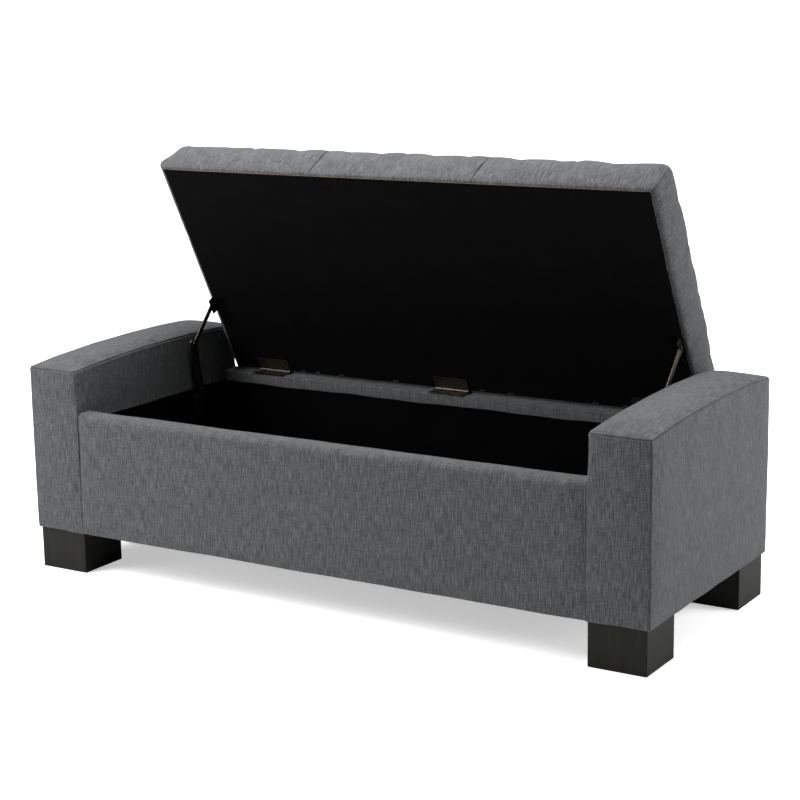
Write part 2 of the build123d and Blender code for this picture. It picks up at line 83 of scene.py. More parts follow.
def places(low, high, step, rims=(0.0, 0.0), seams=(), fine=True):
    """Grid places along one axis: even steps, closer at rounded rims and beside seams."""
    fixed = {low, high}
    shares = RIM_FINE if fine else RIM_COARSE
    fixed.update(low + rims[0] * share for share in shares)
    fixed.update(high - rims[1] * share for share in shares)
    for seam in seams:
        if not fine:
            fixed.add(seam)
            continue
        for offset in SEAM_OFFSETS:
            fixed.update((seam - offset, seam + offset))
    fixed = sorted(f for f in fixed if low <= f <= high)
    kept = [fixed[0]]
    for f in fixed[1:]:
        if f - kept[-1] > LEAST_GAP:
            kept.append(f)
    kept[-1] = high
    even = np.linspace(low, high, max(2, round((high - low) / step)) + 1)
    near = np.array(kept)
    extra = [e for e in even if np.abs(near - e).min() > step * LEAST_SHARE]
    return np.array(sorted(kept + extra))


class Shell:
    """The skin of a box, cut into a grid along three lists of places."""

    def __init__(self, xs, ys, zs):
        self.axes = [np.asarray(a, float) for a in (xs, ys, zs)]
        counts = [len(a) for a in self.axes]
        skin = np.zeros(counts, bool)
        for axis in range(3):
            for end in (0, -1):
                picked = [slice(None)] * 3
                picked[axis] = end
                skin[tuple(picked)] = True
        self.cells = np.argwhere(skin)
        self.index = np.full(counts, -1)
        self.index[skin] = np.arange(len(self.cells))
        self.flat = np.stack([self.axes[k][self.cells[:, k]] for k in range(3)], axis=1)
        self.faces = {}
        quads = []
        for axis in range(3):
            for end in (0, -1):
                picked = [slice(None)] * 3
                picked[axis] = end
                grid = self.index[tuple(picked)]
                self.faces[axis, end] = grid
                corners = (grid[:-1, :-1], grid[1:, :-1], grid[1:, 1:], grid[:-1, 1:])
                quad = np.stack([c.ravel() for c in corners], axis=1)
                if (axis == 1) == (end == -1):
                    quad = quad[:, ::-1]
                quads.append(quad)
        self.quads = np.concatenate(quads)

    def on(self, axis, end):
        """Whether each point lies on that face of the box."""
        last = len(self.axes[axis]) - 1
        return self.cells[:, axis] == (0 if end == 0 else last)

    def borrow(self, other, values):
        """Values on another shell of the same box, read off at this shell's points."""
        result = np.zeros((len(self.cells), values.shape[1]))
        for (axis, end), grid in self.faces.items():
            u, v = [k for k in range(3) if k != axis]
            mine_u = blend_matrix(self.axes[u], other.axes[u])
            mine_v = blend_matrix(self.axes[v], other.axes[v])
            theirs = values[other.faces[axis, end]]
            result[grid] = np.einsum("ai,ijk,bj->abk", mine_u, theirs, mine_v, optimize=True)
        return result


def blend_matrix(to_places, from_places):
    """Linear interpolation between two lists of places, as a matrix."""
    high = np.clip(np.searchsorted(from_places, to_places), 1, len(from_places) - 1)
    low = high - 1
    share = (to_places - from_places[low]) / (from_places[high] - from_places[low])
    share = np.clip(share, 0, 1)
    matrix = np.zeros((len(to_places), len(from_places)))
    rows = np.arange(len(to_places))
    matrix[rows, low] = 1 - share
    matrix[rows, high] = share
    return matrix


def smoothstep(x, low, high):
    t = np.clip((x - low) / (high - low), 0, 1)
    return t * t * (3 - 2 * t)


def rounded(points, low, high, radii):
    """Pulls the edges of a box in to radii, given per point and axis."""
    radii = np.maximum(np.broadcast_to(radii, points.shape), 1e-6)
    core = np.clip(points, np.asarray(low) + radii, np.asarray(high) - radii)
    offset = (points - core) / radii
    length = np.linalg.norm(offset, axis=1)[:, None]
    return core + offset / np.maximum(length, 1e-9) * radii


def normals_of(points, quads):
    a, b, c, d = [points[quads[:, k]] for k in range(4)]
    face = np.cross(c - a, d - b)
    total = np.zeros_like(points)
    for k in range(4):
        np.add.at(total, quads[:, k], face)
    return total / np.maximum(np.linalg.norm(total, axis=1), 1e-12)[:, None]


def smoothed(values, quads, rounds):
    """Averages values with their neighbours' along the net, a few times over."""
    pairs = np.concatenate([quads[:, [k, (k + 1) % 4]] for k in range(4)])
    count = np.zeros(len(values))
    np.add.at(count, pairs[:, 0], 1)
    np.add.at(count, pairs[:, 1], 1)
    for _ in range(rounds):
        total = np.zeros_like(values)
        np.add.at(total, pairs[:, 0], values[pairs[:, 1]])
        np.add.at(total, pairs[:, 1], values[pairs[:, 0]])
        mean = total / np.maximum(count, 1)[:, None]
        values = values * OWN_SHARE + mean * NEIGHBOUR_SHARE
    return values


def ripple(points, size, wavelength, seed):
    """A slow, irregular swell: a few sine waves in fixed random directions."""
    random = np.random.default_rng(seed)
    total = np.zeros(len(points))
    for _ in range(RIPPLE_WAVES):
        direction = random.normal(size=3)
        direction /= np.linalg.norm(direction)
        wave = wavelength * random.uniform(0.6, 1.6)
        total += np.sin(points @ direction * (2 * math.pi / wave) + random.uniform(0, 2 * math.pi))
    return total * size / RIPPLE_WAVES ** 0.5


def groove(distance, along, depth=1.3, width=1.1, lip=0.5, pucker=0.22):
    """A sewn seam: a narrow groove with a soft lip and small gathers beside it."""
    cut = -depth * np.exp(-(distance / width) ** 2)
    swell = lip * np.exp(-((distance - LIP_PLACE) / LIP_WIDTH) ** 2)
    gathers = pucker * np.sin(along * (2 * math.pi / GATHER_PITCH))
    gathers = gathers * np.exp(-(distance / GATHER_REACH) ** 2)
    return cut + swell + gathers


def make_mesh(name, points, quads, material, matrix=None):
    mesh = bpy.data.meshes.new(name)
    mesh.from_pydata((points * MM).tolist(), [], quads.tolist())
    mesh.polygons.foreach_set("use_smooth", [True] * len(mesh.polygons))
    mesh.update()
    made = bpy.data.objects.new(name, mesh)
    scene.collection.objects.link(made)
    made.data.materials.append(material)
    if matrix is not None:
        made.matrix_world = matrix
    return made


# ------------------------------------------------------------------ cloth simulation

SIM_FRAMES = 20
CLOTH_SETTINGS = {
    "quality": 5,
    "mass": 0.3,
    "tension_stiffness": 15,
    "compression_stiffness": 15,
    "bending_stiffness": 0.5,
    "vertex_group_mass": "hold",
    "pin_stiffness": 5,
    "use_pressure": True,
    "uniform_pressure_force": 4,
}


def inflate(jobs):
    """Lets each skin swell under pressure, and gives back how far its points moved."""
    made = []
    for number, job in enumerate(jobs):
        skin = make_mesh(f"swelling_{number}", job["points"], job["shell"].quads, None)
        hold = skin.vertex_groups.new(name="hold")
        for weight in np.unique(job["hold"]):
            if weight > 0:
                members = np.flatnonzero(job["hold"] == weight).tolist()
                hold.add(members, float(weight), "REPLACE")
        cloth = skin.modifiers.new("cloth", "CLOTH")
        for key, value in CLOTH_SETTINGS.items():
            setattr(cloth.settings, key, value)
        cloth.settings.shrink_min = job.get("shrink", 0.0)
        cloth.settings.effector_weights.gravity = 0
        cloth.collision_settings.use_collision = False
        cloth.point_cache.frame_end = SIM_FRAMES
        made.append(skin)
    for step in range(1, SIM_FRAMES + 1):
        scene.frame_set(step)
    graph = bpy.context.evaluated_depsgraph_get()
    moves = []
    for skin, job in zip(made, jobs):
        swollen = skin.evaluated_get(graph).to_mesh()
        co = np.zeros(len(swollen.vertices) * 3)
        swollen.vertices.foreach_get("co", co)
        move = co.reshape(-1, 3) / MM - job["points"]
        far = np.linalg.norm(move, axis=1)[:, None]
        cap = job["cap"]
        moves.append(move * cap * np.tanh(far / cap) / np.maximum(far, 1e-9))
    for skin in made:
        bpy.data.objects.remove(skin)
    scene.frame_set(1)
    return moves


# ------------------------------------------------------------------ materials

# A surface counts as a side, with the cloth running along Y, above this share of its normal
SIDE_FACING = 0.72
THREAD_PITCH = 0.0017
# The linen's noises: scale over (across, along, side), detail, and weight in the tone
LINEN_NOISES = (
    ((900, 60, 1), 2.0, 1.0),
    ((70, 900, 1), 2.0, 0.6),
    ((460, 34, 1), 1.0, 0.85),
    ((38, 420, 1), 1.0, 0.3),
    ((38, 30, 1), 3.0, 0.2),
)


def new_material(name):
    made = bpy.data.materials.new(name)
    made.use_nodes = True
    tree = made.node_tree
    tree.nodes.clear()
    out = tree.nodes.new("ShaderNodeOutputMaterial")
    surface = tree.nodes.new("ShaderNodeBsdfPrincipled")
    tree.links.new(surface.outputs[0], out.inputs[0])
    return made, tree, surface


def node(tree, kind, inputs=(), out=0, **settings):
    """Adds a node, sets or links its inputs, and gives back one output."""
    made = tree.nodes.new("ShaderNode" + kind)
    for key, value in settings.items():
        setattr(made, key, value)
    for key, value in dict(inputs).items():
        if isinstance(value, bpy.types.NodeSocket):
            tree.links.new(value, made.inputs[key])
        else:
            made.inputs[key].default_value = value
    return made.outputs[out]


def set_values(surface, values):
    """Sets values that are the same all over, straight on the shader's sockets."""
    for key, value in values.items():
        surface.inputs[key].default_value = value


def calc(tree, operation, *values):
    return node(tree, "Math", dict(enumerate(values)), operation=operation)


def cloth_place(tree):
    """Position across and along the cloth, in metres, from the object's own axes."""
    coordinates = tree.nodes.new("ShaderNodeTexCoord")
    spot = tree.nodes.new("ShaderNodeSeparateXYZ")
    facing = tree.nodes.new("ShaderNodeSeparateXYZ")
    tree.links.new(coordinates.outputs["Object"], spot.inputs[0])
    tree.links.new(coordinates.outputs["Normal"], facing.inputs[0])
    x, y, z = spot.outputs
    side = calc(tree, "GREATER_THAN", calc(tree, "ABSOLUTE", facing.outputs[0]), SIDE_FACING)
    down = calc(tree, "SUBTRACT", z, y)
    across = calc(tree, "ADD", x, calc(tree, "MULTIPLY", side, calc(tree, "SUBTRACT", y, x)))
    along = calc(tree, "ADD", down, calc(tree, "MULTIPLY", side, y))
    place = node(tree, "CombineXYZ", {0: across, 1: along, 2: side})
    return place, across, along


def streaks(tree, place, scale, detail):
    """Noise that is stretched along one thread direction."""
    scaled = node(tree, "VectorMath", {0: place, 1: scale}, operation="MULTIPLY")
    return node(tree, "TexNoise", {"Vector": scaled, "Scale": 1.0, "Detail": detail})


def weighted(tree, parts):
    """The sum of (noise - 0.5) * weight, about zero."""
    total = None
    for value, weight in parts:
        term = calc(tree, "MULTIPLY_ADD", value, weight, -0.5 * weight)
        total = term if total is None else calc(tree, "ADD", total, term)
    return total


def ramp(tree, factor, stops):
    made = tree.nodes.new("ShaderNodeValToRGB")
    tree.links.new(factor, made.inputs[0])
    elements = made.color_ramp.elements
    while len(elements) < len(stops):
        elements.new(0.5)
    for element, (position, colour) in zip(elements, stops):
        element.position = position
        element.color = (*colour, 1)
    return made.outputs[0]


def linen(name):
    """Charcoal linen-look upholstery: uneven heathered threads in a plain weave."""
    made, tree, surface = new_material(name)
    place, across, along = cloth_place(tree)
    noises = [(streaks(tree, place, scale, detail), weight) for scale, detail, weight in LINEN_NOISES]
    tone = weighted(tree, noises)
    tone = calc(tree, "ADD", tone, 0.5)
    colour = ramp(tree, tone, (
        (0.0, (0.016, 0.0175, 0.020)),
        (0.35, (0.040, 0.042, 0.045)),
        (0.6, (0.065, 0.0665, 0.068)),
        (1.0, (0.130, 0.130, 0.127)),
    ))
    tree.links.new(colour, surface.inputs["Base Color"])
    thread = 2 * math.pi / THREAD_PITCH
    crossing = calc(
        tree, "MULTIPLY",
        calc(tree, "SINE", calc(tree, "MULTIPLY", across, thread)),
        calc(tree, "SINE", calc(tree, "MULTIPLY", along, thread)),
    )
    height = calc(tree, "ADD", calc(tree, "MULTIPLY", crossing, 0.5), calc(tree, "MULTIPLY", tone, 0.9))
    bump = node(tree, "Bump", {"Strength": 0.55, "Distance": 0.00035, "Height": height})
    tree.links.new(bump, surface.inputs["Normal"])
    rough = calc(tree, "MULTIPLY_ADD", tone, -0.12, 0.93)
    tree.links.new(rough, surface.inputs["Roughness"])
    set_values(surface, {
        "Specular IOR Level": 0.22,
        "Sheen Weight": 0.12,
        "Sheen Roughness": 0.45,
        "Sheen Tint": (0.75, 0.78, 0.82, 1),
    })
    return made


def black_cloth(name, dark, light, fibre):
    """Black non-woven or lining cloth with a faint fibre."""
    made, tree, surface = new_material(name)
    place, _, _ = cloth_place(tree)
    fine = streaks(tree, place, (fibre, fibre * 0.6, 1), 3.0)
    broad = streaks(tree, place, (24, 30, 1), 2.0)
    tone = calc(tree, "ADD", weighted(tree, ((fine, 1.2), (broad, 0.5))), 0.5)
    tree.links.new(ramp(tree, tone, ((0.1, dark), (0.9, light))), surface.inputs["Base Color"])
    bump = node(tree, "Bump", {"Strength": 0.4, "Distance": 0.0003, "Height": fine})
    tree.links.new(bump, surface.inputs["Normal"])
    tree.links.new(calc(tree, "MULTIPLY_ADD", fine, 0.1, 0.88), surface.inputs["Roughness"])
    surface.inputs["Specular IOR Level"].default_value = 0.03
    return made


def painted_wood(name):
    """Dark-stained leg wood with a satin surface and the grain running down."""
    made, tree, surface = new_material(name)
    spot = node(tree, "TexCoord", out=3)
    long_grain = node(tree, "VectorMath", {0: spot, 1: (130, 130, 9)}, operation="MULTIPLY")
    grain = node(tree, "TexNoise", {"Vector": long_grain, "Scale": 1.0, "Detail": 6.0, "Distortion": 0.6})
    pores = node(tree, "VectorMath", {0: spot, 1: (900, 900, 28)}, operation="MULTIPLY")
    pore = node(tree, "TexNoise", {"Vector": pores, "Scale": 1.0, "Detail": 2.0})
    tone = calc(tree, "ADD", weighted(tree, ((grain, 1.3), (pore, 0.5))), 0.5)
    tree.links.new(ramp(tree, tone, (
        (0.15, (0.0038, 0.0036, 0.0022)),
        (0.55, (0.0080, 0.0077, 0.0048)),
        (0.95, (0.016, 0.0154, 0.010)),
    )), surface.inputs["Base Color"])
    bump = node(tree, "Bump", {"Strength": 0.25, "Distance": 0.0002, "Height": pore})
    tree.links.new(bump, surface.inputs["Normal"])
    tree.links.new(calc(tree, "MULTIPLY_ADD", grain, 0.2, 0.42), surface.inputs["Roughness"])
    surface.inputs["Specular IOR Level"].default_value = 0.14
    return made


def metal(name, dark, light, roughness):
    """Plated or browned steel with handling marks."""
    made, tree, surface = new_material(name)
    spot = node(tree, "TexCoord", out=3)
    marks = node(tree, "TexNoise", {"Vector": spot, "Scale": 220.0, "Detail": 5.0})
    scuffs = node(tree, "TexNoise", {"Vector": spot, "Scale": 880.0, "Detail": 2.0})
    tone = calc(tree, "ADD", weighted(tree, ((marks, 1.6), (scuffs, 0.6))), 0.5)
    tree.links.new(ramp(tree, tone, ((0.2, dark), (0.85, light))), surface.inputs["Base Color"])
    tree.links.new(calc(tree, "MULTIPLY_ADD", marks, 0.25, roughness - 0.12), surface.inputs["Roughness"])
    bump = node(tree, "Bump", {"Strength": 0.15, "Distance": 0.0001, "Height": scuffs})
    tree.links.new(bump, surface.inputs["Normal"])
    surface.inputs["Metallic"].default_value = 1.0
    return made


def plain_stock(name, dark, light, scale, roughness, stretch=(1, 1, 1)):
    """Plywood, foam, twine or plastic: two tones and a fine grain."""
    made, tree, surface = new_material(name)
    spot = node(tree, "TexCoord", out=3)
    scaled = node(tree, "VectorMath", {0: spot, 1: stretch}, operation="MULTIPLY")
    grain = node(tree, "TexNoise", {"Vector": scaled, "Scale": scale, "Detail": 5.0})
    tree.links.new(ramp(tree, grain, ((0.3, dark), (0.7, light))), surface.inputs["Base Color"])
    tree.links.new(calc(tree, "MULTIPLY_ADD", grain, 0.2, roughness - 0.1), surface.inputs["Roughness"])
    bump = node(tree, "Bump", {"Strength": 0.3, "Distance": 0.0004, "Height": grain})
    tree.links.new(bump, surface.inputs["Normal"])
    return made


UPHOLSTERY = linen("charcoal_linen")
LINING = black_cloth("black_lining", (0.0003, 0.0003, 0.0003), (0.0012, 0.0012, 0.0012), 700)
DUST_CLOTH = black_cloth("black_dust_cloth", (0.0012, 0.0012, 0.0012), (0.0045, 0.0045, 0.0045), 420)
LEG_WOOD = painted_wood("espresso_wood")
BRONZE = metal("browned_steel", (0.036, 0.031, 0.026), (0.105, 0.092, 0.076), 0.42)
# A near-black copy of the browned steel for the lid's stay bracket: painted shade for its place under the
# open lid, not a blackened finish.
SHADED_BRONZE = metal("bronze_steel_in_painted_shade", (0.006, 0.005, 0.004), (0.02, 0.016, 0.012), 0.5)
ZINC = metal("zinc_plated_steel", (0.45, 0.45, 0.44), (0.72, 0.72, 0.70), 0.34)
STAPLE = metal("staple_wire", (0.62, 0.62, 0.61), (0.9, 0.9, 0.88), 0.25)
PLYWOOD = plain_stock("plywood", (0.32, 0.22, 0.13), (0.48, 0.36, 0.23), 18, 0.7, (1, 6, 6))
FOAM = plain_stock("foam", (0.62, 0.58, 0.42), (0.74, 0.70, 0.52), 600, 0.95)
TWINE = plain_stock("waxed_twine", (0.35, 0.31, 0.24), (0.55, 0.50, 0.40), 900, 0.8)
GLIDE = plain_stock("glide_plastic", (0.012, 0.012, 0.012), (0.02, 0.02, 0.02), 300, 0.5)

# What each CAD node is made of: start of its name, slot and material. The first match counts.
NODE_FINISHES = (
    ("leg_bolts", "zinc_steel", ZINC),
    ("leg_plates", "zinc_steel", ZINC),
    ("leg_glides", "glide_plastic", GLIDE),
    ("leg_", "leg_wood", LEG_WOOD),
    ("lid_cloth_staples", "staple_wire", STAPLE),
    ("hinge_", "bronze_steel", BRONZE),
    # The lid's stay bracket is bronze steel. It gets the near-black copy, which is painted shade.
    ("stay_lid_", "bronze_steel", SHADED_BRONZE),
    ("stay_", "bronze_steel", BRONZE),
    ("tuft_twine", "twine", TWINE),
    ("tuft_washers", "zinc_steel", ZINC),
    ("arm_foam", "foam", FOAM),
    ("front_rail_foam", "foam", FOAM),
    ("back_rail_foam", "foam", FOAM),
    ("lid_foam", "foam", FOAM),
    ("arm_cover", "upholstery", UPHOLSTERY),
    ("front_cover", "upholstery", UPHOLSTERY),
    ("back_cover", "upholstery", UPHOLSTERY),
    ("lid_cover", "upholstery", UPHOLSTERY),
    ("tuft_buttons", "upholstery", UPHOLSTERY),
    ("storage_liner", "black_cloth", LINING),
    ("lid_underside_cloth", "black_cloth", DUST_CLOTH),
    ("bottom_dust_cloth", "black_cloth", DUST_CLOTH),
    ("", "plywood", PLYWOOD),
)


def finish_nodes():
    for name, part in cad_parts.items():
        slot_name, finish = next(row[1:] for row in NODE_FINISHES if name.startswith(row[0]))
        part.data.materials.clear()
        part.data.materials.append(finish)


finish_nodes()


# ------------------------------------------------------------------ arms

ARM_SEAM_DROP = 4.0
# The band beside each upright corner where the net is closer, for the rounding
ARM_SOFT = 12.5
# The arch of the top: where its crest lies along Y, and its radius
ARM_CREST_Y = 70.0
ARM_RADIUS = 3386.0
# Radii of the upright corners. The inner ones grow by ARM_FRONT_MORE towards the front and
# are all ARM_BACK_LESS tighter. Where a cover is sewn to its neighbour it has SEWN_CORNER.
ARM_CORNER = 5.5
ARM_FRONT_MORE = 7.0
ARM_BACK_LESS = 1.0
SEWN_CORNER = 0.8
# Radii of the level edges: at the base, and how much more at the top
ARM_EDGE = 2.0
ARM_TOP_MORE = 3.5
# The crown of the top, the stretch at each end over which it rises, and the drop at the back
ARM_CROWN = 7.5
ARM_CROWN_ENDS = 70
ARM_BACK_DROP = 1.5
ARM_BELLY = 2.4
# How far the covers' underside is lifted for the dust cloth
RECESS = 1.8
# The height above the base that stays held in the simulation
HELD_BASE = 8


def arm_shell(fine):
    step = 4.5 if fine else 8.5
    xs = places(ARM_INNER, HALF_X, step, (ARM_SOFT, ARM_SOFT), (HALF_X,), fine)
    ys = places(-HALF_Y, HALF_Y, step, (ARM_SOFT, ARM_SOFT), (-HALF_Y, HALF_Y), fine)
    zs = places(BODY_BASE, ARM_TOP, step, (6, 9), (ARM_TOP - ARM_SEAM_DROP,), fine)
    return Shell(xs, ys, zs)


def under_recess(points, inset_x, inset_y):
    """Lifts the covers' underside a little inside its rim, where the dust cloth lies."""
    inside = smoothstep(inset_x, 10, 16) * smoothstep(inset_y, 10, 16)
    low = 1 - smoothstep(points[:, 2], BODY_BASE + 1, BODY_BASE + 6)
    points[:, 2] += RECESS * inside * low
    return points


def arm_form(flat):
    """The right arm: a soft box whose top follows a long arch and swells between its seams."""
    z = flat[:, 2]
    upper = smoothstep(z, BODY_BASE + 60, ARM_TOP - 60)
    inner = 1 - smoothstep(flat[:, 0], ARM_INNER + 20, ARM_INNER + 60)
    more = ARM_FRONT_MORE * (1 - smoothstep(flat[:, 1], -60, 60)) - ARM_BACK_LESS
    corner = ARM_CORNER + more * inner * smoothstep(z, RAIL_TOP, ARM_TOP - 20)
    # Above the rail the inner corners are soft; below its top they are sewn to it
    sewn = inner * (1 - smoothstep(z, RAIL_TOP - 6, RAIL_TOP + 16))
    corner = corner * (1 - sewn) + SEWN_CORNER * sewn
    radii = np.stack([corner, corner, ARM_EDGE + ARM_TOP_MORE * upper], axis=1)
    points = rounded(flat, (ARM_INNER, -HALF_Y, BODY_BASE), (HALF_X, HALF_Y, ARM_TOP), radii)
    y = points[:, 1]
    arch = ARM_RADIUS - np.sqrt(ARM_RADIUS ** 2 - (y - ARM_CREST_Y) ** 2)
    lift = smoothstep(z, RAIL_TOP - 60, ARM_TOP)
    points[:, 2] -= arch * lift
    across = (points[:, 0] - (ARM_INNER + HALF_X) / 2) / ((HALF_X - ARM_INNER) / 2)
    from_front = smoothstep(y, -HALF_Y, -HALF_Y + ARM_CROWN_ENDS)
    from_back = smoothstep(-y, -HALF_Y, -HALF_Y + ARM_CROWN_ENDS)
    top = smoothstep(z, ARM_TOP - 3, ARM_TOP)
    points[:, 2] += ARM_CROWN * np.clip(1 - np.abs(across) ** 3, 0, 1) * from_front * from_back * top
    points[:, 2] -= ARM_BACK_DROP * (1 - from_back) * smoothstep(z, RAIL_TOP, ARM_TOP)
    belly = np.sin(math.pi * np.clip((z - BODY_BASE) / (ARM_TOP - BODY_BASE), 0, 1)) ** 0.3
    points[:, 0] += ARM_BELLY * belly * smoothstep(across, 0.7, 0.9)
    return under_recess(points, HALF_X - np.abs(points[:, 0]), HALF_Y - np.abs(points[:, 1]))


def edge_gap(flat):
    """Distance from the arm's top panel edges and from its outer corner seams."""
    x, y, z = flat.T
    seam_z = ARM_TOP - ARM_SEAM_DROP
    on_top = z >= ARM_TOP - 1e-6
    inward = np.minimum.reduce([x - ARM_INNER, HALF_X - x, HALF_Y - np.abs(y)])
    loop = np.where(on_top, ARM_SEAM_DROP + inward, np.abs(z - seam_z))
    corner = np.hypot(HALF_X - x, HALF_Y - np.abs(y))
    corner = np.where(z > seam_z, np.hypot(corner, z - seam_z), corner)
    return loop, corner


def arm_hold(shell):
    """How firmly each point of the arm is held while the rest swells."""
    x, y, z = shell.flat.T
    loop, corner = edge_gap(shell.flat)
    held = np.zeros(len(x))
    held[z < BODY_BASE + HELD_BASE] = 1
    held[loop < 3] = 1
    held[corner < 2] = 1
    held[(x < ARM_INNER + 1) & (z < RAIL_TOP)] = 1
    held[(x < ARM_INNER + 1) & (np.abs(y) > HALF_Y - 1)] = 1
    return held


def arm_finish(shell, points):
    """Adds the seams and the slow unevenness of stretched cloth over foam."""
    normals = normals_of(points, shell.quads)
    loop, corner = edge_gap(shell.flat)
    along = shell.flat[:, 0] + shell.flat[:, 1]
    push = groove(loop, along, depth=1.5, width=1.0, lip=0.6)
    push += groove(corner, shell.flat[:, 2], depth=0.9, width=1.1, lip=0.3)
    push += ripple(points, 0.35, 95.0, 5)
    points = points + normals * push[:, None]
    inner = shell.on(0, 0)
    points[inner, 0] = np.maximum(points[inner, 0], ARM_INNER - 0.9)
    box = inner & (shell.flat[:, 2] < LINER_TOP + 6) & (np.abs(shell.flat[:, 1]) < RAIL_INNER + 2)
    points[box, 0] = np.maximum(points[box, 0], ARM_INNER)
    return points


# ------------------------------------------------------------------ rails

RAIL_HALF = ARM_INNER - 0.2
RAIL_EDGE = 2.0
# How far the top edges are rounded, and how far the top falls towards the box; below 0 it rises
FRONT_RAIL_TOP = (12, -1.2)
BACK_RAIL_TOP = (3.5, 0)
# The back rail's top: how far under RAIL_TOP at the hinge leaves, and how far over it behind them
HINGE_SEAT = 0.1
BACK_FILL = 0.9


def rail_shell(fine):
    step = 4.5 if fine else 9.0
    xs = places(-RAIL_HALF, RAIL_HALF, step, (4, 4), (), fine)
    ys = places(-HALF_Y, -RAIL_INNER, step, (13, 13), (), fine)
    zs = places(BODY_BASE, RAIL_TOP, step, (6, 13), (), fine)
    return Shell(xs, ys, zs)


def rail_form(flat, round_top, fall):
    """A rail with its outer face towards -Y; the cover rolls softly over the top."""
    z = flat[:, 2]
    upper = smoothstep(z, BODY_BASE + 60, RAIL_TOP - 60)
    roll = RAIL_EDGE + (round_top - RAIL_EDGE) * upper
    radii = np.stack([np.full(len(z), SEWN_CORNER), roll, roll], axis=1)
    points = rounded(flat, (-RAIL_HALF, -HALF_Y, BODY_BASE), (RAIL_HALF, -RAIL_INNER, RAIL_TOP), radii)
    inward = smoothstep(points[:, 1], -HALF_Y + 8, -RAIL_INNER)
    points[:, 2] -= fall * inward * smoothstep(z, RAIL_TOP - 30, RAIL_TOP)
    return under_recess(points, HALF_X - np.abs(points[:, 0]), HALF_Y + points[:, 1])


def rail_hold(shell):
    x, y, z = shell.flat.T
    held = np.zeros(len(x))
    held[z < BODY_BASE + HELD_BASE] = 1
    held[np.abs(x) > RAIL_HALF - 1] = 1
    held[(y > -RAIL_INNER - 1) & (z < RAIL_TOP - 12)] = 1
    return held


def rail_finish(shell, points, seed):
    normals = normals_of(points, shell.quads)
    push = ripple(points, 0.45, 130.0, seed)
    points = points + normals * push[:, None]
    inner = shell.on(1, -1)
    points[inner, 1] = np.minimum(points[inner, 1], -RAIL_INNER)
    return points


def seat_hinges(shell, points):
    """The back rail's top: flat under the hinge leaves, and filled up to the pad behind them."""
    outer = -points[:, 1]
    behind = smoothstep(outer, HINGE_Y + 2.5, HINGE_Y + 6)
    behind = behind * (1 - smoothstep(outer, HALF_Y - 3, HALF_Y + 1))
    points[:, 2] = np.minimum(points[:, 2], RAIL_TOP - HINGE_SEAT)
    points[:, 2] += (RAIL_TOP + BACK_FILL - points[:, 2]) * behind * shell.on(2, -1)
    return points


# ------------------------------------------------------------------ lid pad

LID_MATRIX = (
    Matrix.Translation((0, HINGE_Y * MM, HINGE_Z * MM))
    @ Matrix.Rotation(math.radians(-OPEN_ANGLE), 4, "X")
    @ Matrix.Translation((0, -HINGE_Y * MM, -HINGE_Z * MM))
)
PAD_LOW = 4.0
PAD_HIGH = 88.0
PAD_BACK = -0.8
PAD_FRONT = LID_REACH - 0.2
PAD_HALF = LID_HALF - 0.2
PAD_MIDDLE = (PAD_FRONT + PAD_BACK) / 2
# Radii of the pad's edges: at its underside and at its top
PAD_TIGHT = 1.4
PAD_ROUND = 17.0
# The most that the pad's sides may stand out, as they close between the arms
PAD_SIDE_ROOM = 12.5
# The borders: width of the band, how far the ends and the front bulge, and how much less
# each does where a tufting line runs out
BORDER_BAND = 30
END_BULGE, END_DIP = 10.5, 2.4
FRONT_BULGE, FRONT_DIP = 6.5, 1.4
# The rear border's overhang past the hinge line: at its foot, gained per mm of height, at most
HANG_FOOT, HANG_SLOPE, HANG_MOST = 2.3, 0.52, 12.3
# The top: swell of a square, sink of a tufting line at the rim and more inside, and its width
SQUARE_SWELL = 7.5
LINE_SINK, LINE_SINK_MORE, LINE_WIDTH = 2.0, 10.5, 17.0
BUTTON_SINK, BUTTON_DIP_WIDTH = 6.0, 19.0
CORNER_CROWN, REACH_CROWN = 7.5, 4.0
CREASE_DEPTH, CREASE_WIDTH = 1.6, 2.6
# Short folds round each button: how many, how high, how far out and how wide
FOLDS, FOLD_HEIGHT, FOLD_PLACE, FOLD_WIDTH = 11, 0.8, 22, 12
VALLEYS_X = [k * TUFT_PITCH for k in (-2, -1, 0, 1, 2)]
VALLEYS_REACH = [LID_REACH / 3 - 0.7, LID_REACH * 2 / 3 - 0.3]
BORDER_SEAMS = (-TUFT_PITCH, TUFT_PITCH)


def pad_shell(fine):
    step = 5.0 if fine else 8.7
    seams_x = (-PAD_HALF, *BORDER_SEAMS, PAD_HALF)
    front = HINGE_Y - PAD_FRONT
    back = HINGE_Y - PAD_BACK
    xs = places(-PAD_HALF, PAD_HALF, step, (PAD_ROUND, PAD_ROUND), seams_x, fine)
    ys = places(front, back, step, (PAD_ROUND, PAD_ROUND), (front, back), fine)
    zs = places(HINGE_Z + PAD_LOW, HINGE_Z + PAD_HIGH, step, (4, PAD_ROUND), (), fine)
    return Shell(xs, ys, zs)


def valley_gaps(x, reach):
    """Distance to the nearest tufting line each way, and to the nearest button."""
    gap_x = np.min([np.abs(x - v) for v in VALLEYS_X], axis=0)
    gap_reach = np.min([np.abs(reach - v) for v in VALLEYS_REACH], axis=0)
    return gap_x, gap_reach, np.hypot(gap_x, gap_reach)


